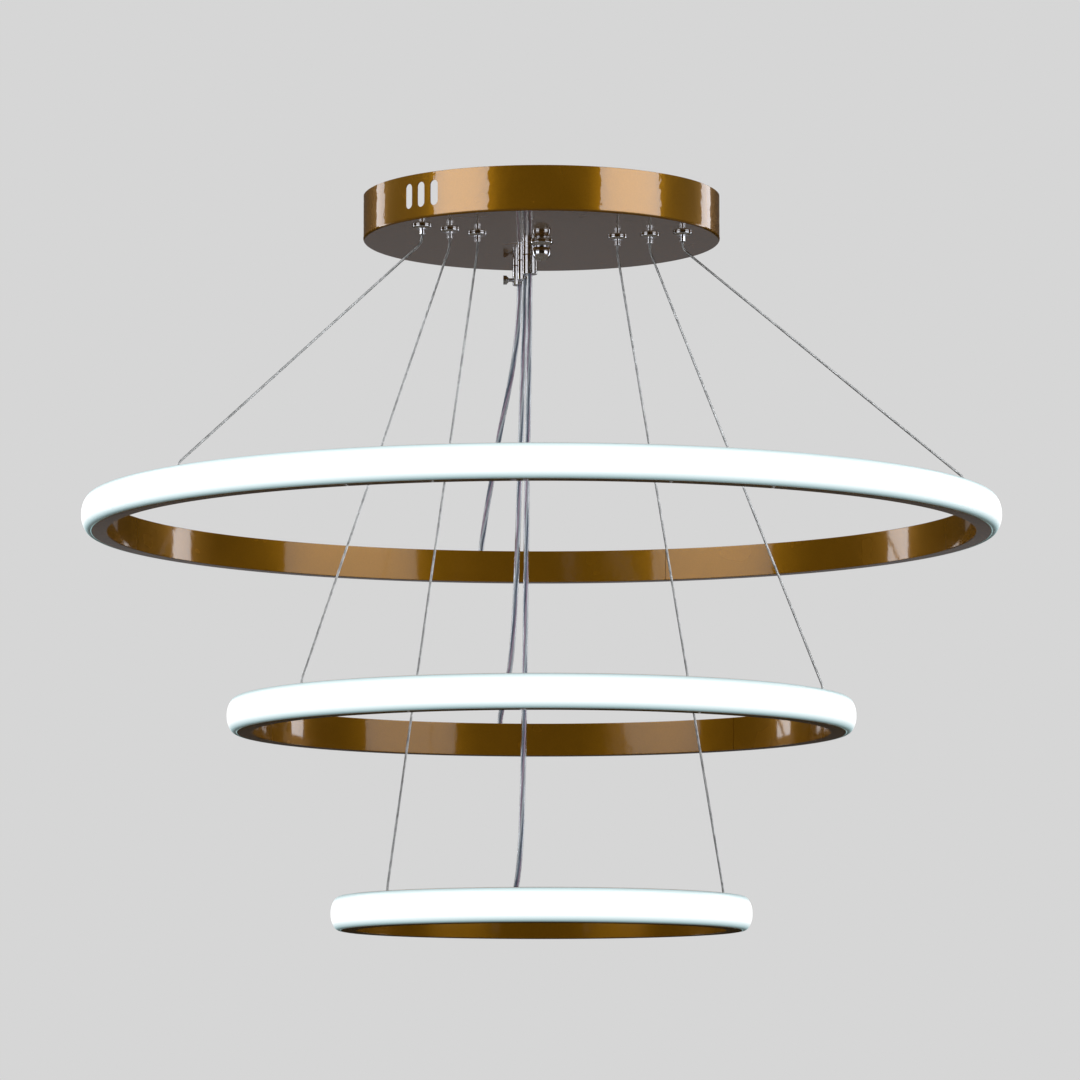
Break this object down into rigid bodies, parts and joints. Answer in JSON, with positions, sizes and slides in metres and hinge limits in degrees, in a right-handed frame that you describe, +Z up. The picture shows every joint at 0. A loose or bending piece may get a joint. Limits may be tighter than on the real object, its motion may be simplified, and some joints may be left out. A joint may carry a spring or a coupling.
{
  "type": "led ring chandelier",
  "caption": "Ceiling chandelier: coaxial LED light rings of falling size hang below a round canopy on adjustable steel cables and clear power cords.",
  "frame": {"origin": "on the ceiling plane, at the middle of the ceiling bracket, above the canopy's centre", "axes": "+Z up, out of the ceiling face; +X along the bracket towards the right of the picture; -Y towards the picture's camera"},
  "size_m": [0.8999, 0.9, 0.723],
  "materials": {
    "gold_lacquer_steel": "glossy bronze-gold lacquer over pressed steel",
    "gold_lacquer_aluminium": "glossy bronze-gold lacquer over bent aluminium channel",
    "chrome_plate": "polished chrome plate",
    "zinc_steel": "bright zinc-plated steel",
    "cable_steel": "stranded stainless steel cable",
    "spring_steel": "spring steel",
    "collet_brass": "turned brass",
    "clear_cord": "clear soft PVC over twisted cores",
    "cap_nylon": "natural nylon",
    "gland_nylon": "clear nylon",
    "driver_plastic": "white moulded ABS, fine texture",
    "board_laminate": "circuit board with its parts",
    "terminal_plastic": "natural polyamide",
    "strip_laminate": "white flexible circuit strip",
    "chip_phosphor": "LED chip",
    "opal_diffuser": "opal white, lit evenly from inside, satin surface"
  },
  "bodies": {
    "canopy": {"canopy_shell": "gold_lacquer_steel", "ceiling_bracket": "zinc_steel", "centre_stud": "zinc_steel", "stud_lock_nut": "zinc_steel", "finial_washer": "chrome_plate", "gripper_flanges": "chrome_plate", "gripper_barrels": "zinc_steel", "gripper_collets": "collet_brass", "gripper_springs": "spring_steel", "inner_hex_nuts": "zinc_steel", "cord_outlets": "chrome_plate", "cord_splice_caps": "cap_nylon", "driver_case": "driver_plastic", "driver_lid": "driver_plastic", "driver_board": "board_laminate", "terminal_block": "terminal_plastic"},
    "finial": {"ball_nut": "chrome_plate"},
    "large_ring": {"large_channel": "gold_lacquer_aluminium", "large_diffuser": "opal_diffuser", "large_led_strip": "strip_laminate", "large_led_chips": "chip_phosphor", "large_splice_plate": "zinc_steel", "large_splice_screws": "zinc_steel", "large_cable_ferrules": "zinc_steel", "large_cord_gland": "gland_nylon", "large_left_cable": "cable_steel", "large_right_cable": "cable_steel", "large_power_cord": "clear_cord"},
    "large_left_release": {"large_left_plunger": "chrome_plate"},
    "large_right_release": {"large_right_plunger": "chrome_plate"},
    "large_cord_screw": {"large_thumb_screw": "chrome_plate"},
    "medium_ring": {"medium_channel": "gold_lacquer_aluminium", "medium_diffuser": "opal_diffuser", "medium_led_strip": "strip_laminate", "medium_led_chips": "chip_phosphor", "medium_splice_plate": "zinc_steel", "medium_splice_screws": "zinc_steel", "medium_cable_ferrules": "zinc_steel", "medium_cord_gland": "gland_nylon", "medium_left_cable": "cable_steel", "medium_right_cable": "cable_steel", "medium_power_cord": "clear_cord"},
    "medium_left_release": {"medium_left_plunger": "chrome_plate"},
    "medium_right_release": {"medium_right_plunger": "chrome_plate"},
    "medium_cord_screw": {"medium_thumb_screw": "chrome_plate"},
    "small_ring": {"small_channel": "gold_lacquer_aluminium", "small_diffuser": "opal_diffuser", "small_led_strip": "strip_laminate", "small_led_chips": "chip_phosphor", "small_splice_plate": "zinc_steel", "small_splice_screws": "zinc_steel", "small_cable_ferrules": "zinc_steel", "small_cord_gland": "gland_nylon", "small_left_cable": "cable_steel", "small_right_cable": "cable_steel", "small_power_cord": "clear_cord"},
    "small_left_release": {"small_left_plunger": "chrome_plate"},
    "small_right_release": {"small_right_plunger": "chrome_plate"},
    "small_cord_screw": {"small_thumb_screw": "chrome_plate"}
  },
  "joints": [
    {"name": "ball_nut_turn", "type": "hinge", "parent": "canopy", "child": "finial", "pos_m": [0, 0, -0.0544], "axis": [0, 0, -1], "range_deg": [0, 1080]},
    {"name": "large_ring_height", "type": "slide", "parent": "canopy", "child": "large_ring", "axis": [0, 0, 1], "range_m": [0, 0.18], "deforming": ["large_left_cable", "large_right_cable", "large_power_cord"]},
    {"name": "large_left_release_press", "type": "slide", "parent": "canopy", "child": "large_left_release", "axis": [0, 0, 1], "range_m": [0, 0.001], "stiffness_N_per_m": 300, "springref_m": -0.003},
    {"name": "large_right_release_press", "type": "slide", "parent": "canopy", "child": "large_right_release", "axis": [0, 0, 1], "range_m": [0, 0.001], "stiffness_N_per_m": 300, "springref_m": -0.003},
    {"name": "large_cord_screw_turn", "type": "hinge", "parent": "canopy", "child": "large_cord_screw", "pos_m": [-0.02188, 0.14637, -0.058], "axis": [-1, 0, 0], "range_deg": [0, 1080]},
    {"name": "medium_ring_height", "type": "slide", "parent": "canopy", "child": "medium_ring", "axis": [0, 0, 1], "range_m": [0, 0.27], "deforming": ["medium_left_cable", "medium_right_cable", "medium_power_cord"]},
    {"name": "medium_left_release_press", "type": "slide", "parent": "canopy", "child": "medium_left_release", "axis": [0, 0, 1], "range_m": [0, 0.001], "stiffness_N_per_m": 300, "springref_m": -0.003},
    {"name": "medium_right_release_press", "type": "slide", "parent": "canopy", "child": "medium_right_release", "axis": [0, 0, 1], "range_m": [0, 0.001], "stiffness_N_per_m": 300, "springref_m": -0.003},
    {"name": "medium_cord_screw_turn", "type": "hinge", "parent": "canopy", "child": "medium_cord_screw", "pos_m": [-0.01685, 0.11275, -0.058], "axis": [0, 1, 0], "range_deg": [0, 1080]},
    {"name": "small_ring_height", "type": "slide", "parent": "canopy", "child": "small_ring", "axis": [0, 0, 1], "range_m": [0, 0.24], "deforming": ["small_left_cable", "small_right_cable", "small_power_cord"]},
    {"name": "small_left_release_press", "type": "slide", "parent": "canopy", "child": "small_left_release", "axis": [0, 0, 1], "range_m": [0, 0.001], "stiffness_N_per_m": 300, "springref_m": -0.003},
    {"name": "small_right_release_press", "type": "slide", "parent": "canopy", "child": "small_right_release", "axis": [0, 0, 1], "range_m": [0, 0.001], "stiffness_N_per_m": 300, "springref_m": -0.003},
    {"name": "small_cord_screw_turn", "type": "hinge", "parent": "canopy", "child": "small_cord_screw", "pos_m": [-0.01183, 0.07912, -0.058], "axis": [0, 1, 0], "range_deg": [0, 1080]}
  ]
}
